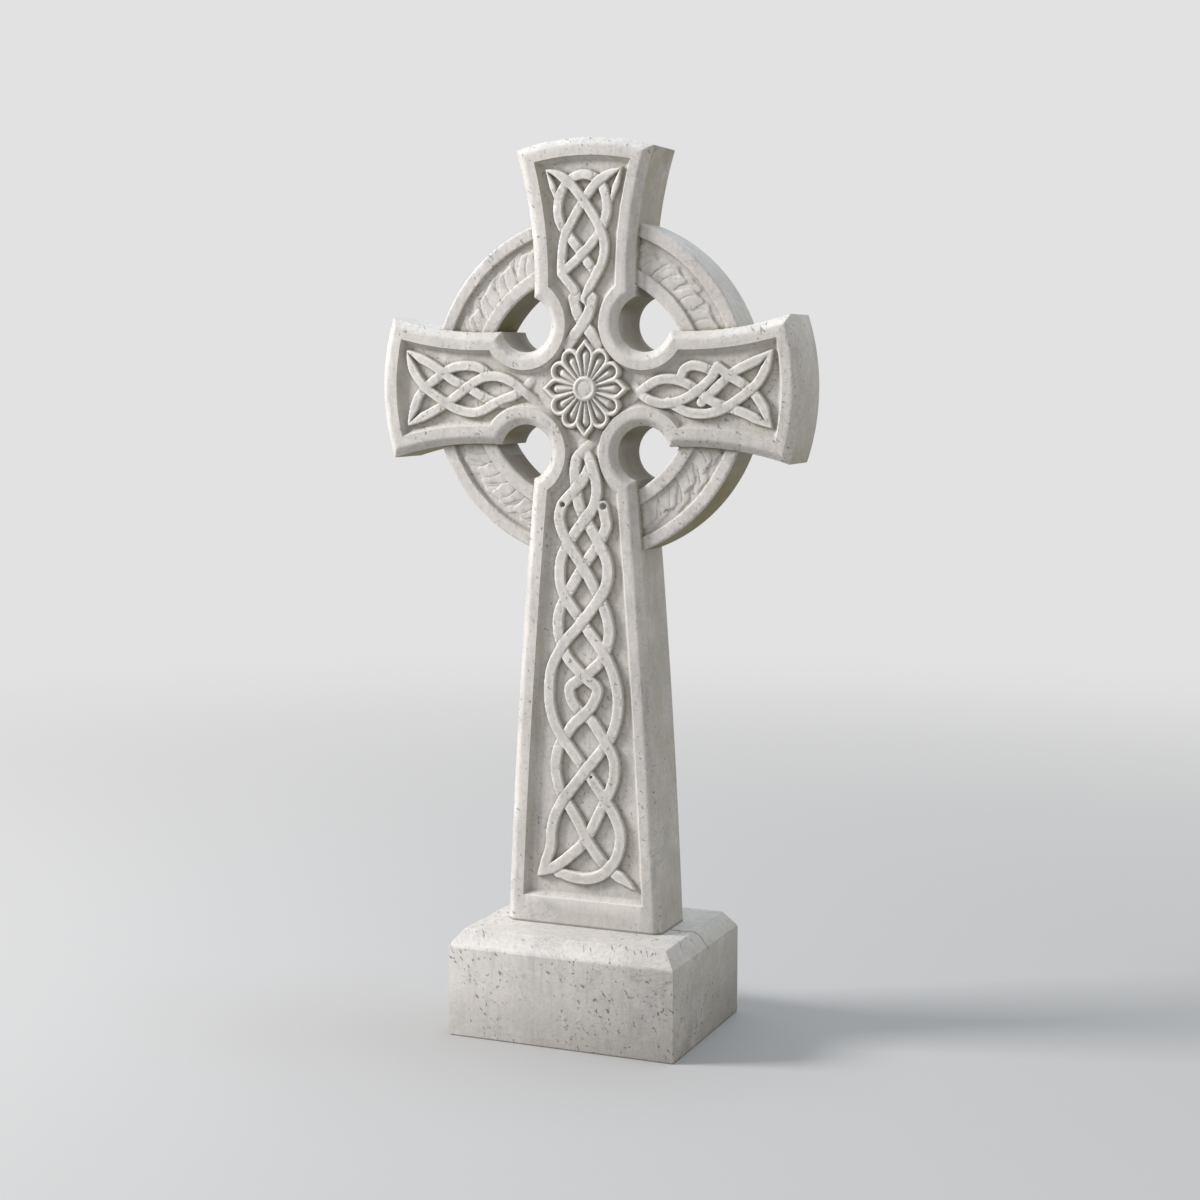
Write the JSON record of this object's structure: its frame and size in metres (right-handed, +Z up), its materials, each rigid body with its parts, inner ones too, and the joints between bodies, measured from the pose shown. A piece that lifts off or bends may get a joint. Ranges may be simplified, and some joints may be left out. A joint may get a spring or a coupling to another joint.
{
  "type": "celtic cross headstone",
  "caption": "Ring cross of carved stone with interlaced knotwork, a centre rosette and a foliate ring, standing on a block plinth with a weathered top.",
  "frame": {"origin": "middle of the plinth's underside", "axes": "+X to the right seen from the front, the carved front faces -Y, +Z up the shaft"},
  "size_m": [0.6, 0.254, 1.2],
  "materials": {
    "plinth_stone": "honed, weathered marble with dark flecks and fine veins",
    "cross_stone": "honed, weathered marble with olive staining in the carving"
  },
  "bodies": {
    "root": {"plinth": "plinth_stone", "cross": "cross_stone"}
  },
  "joints": []
}
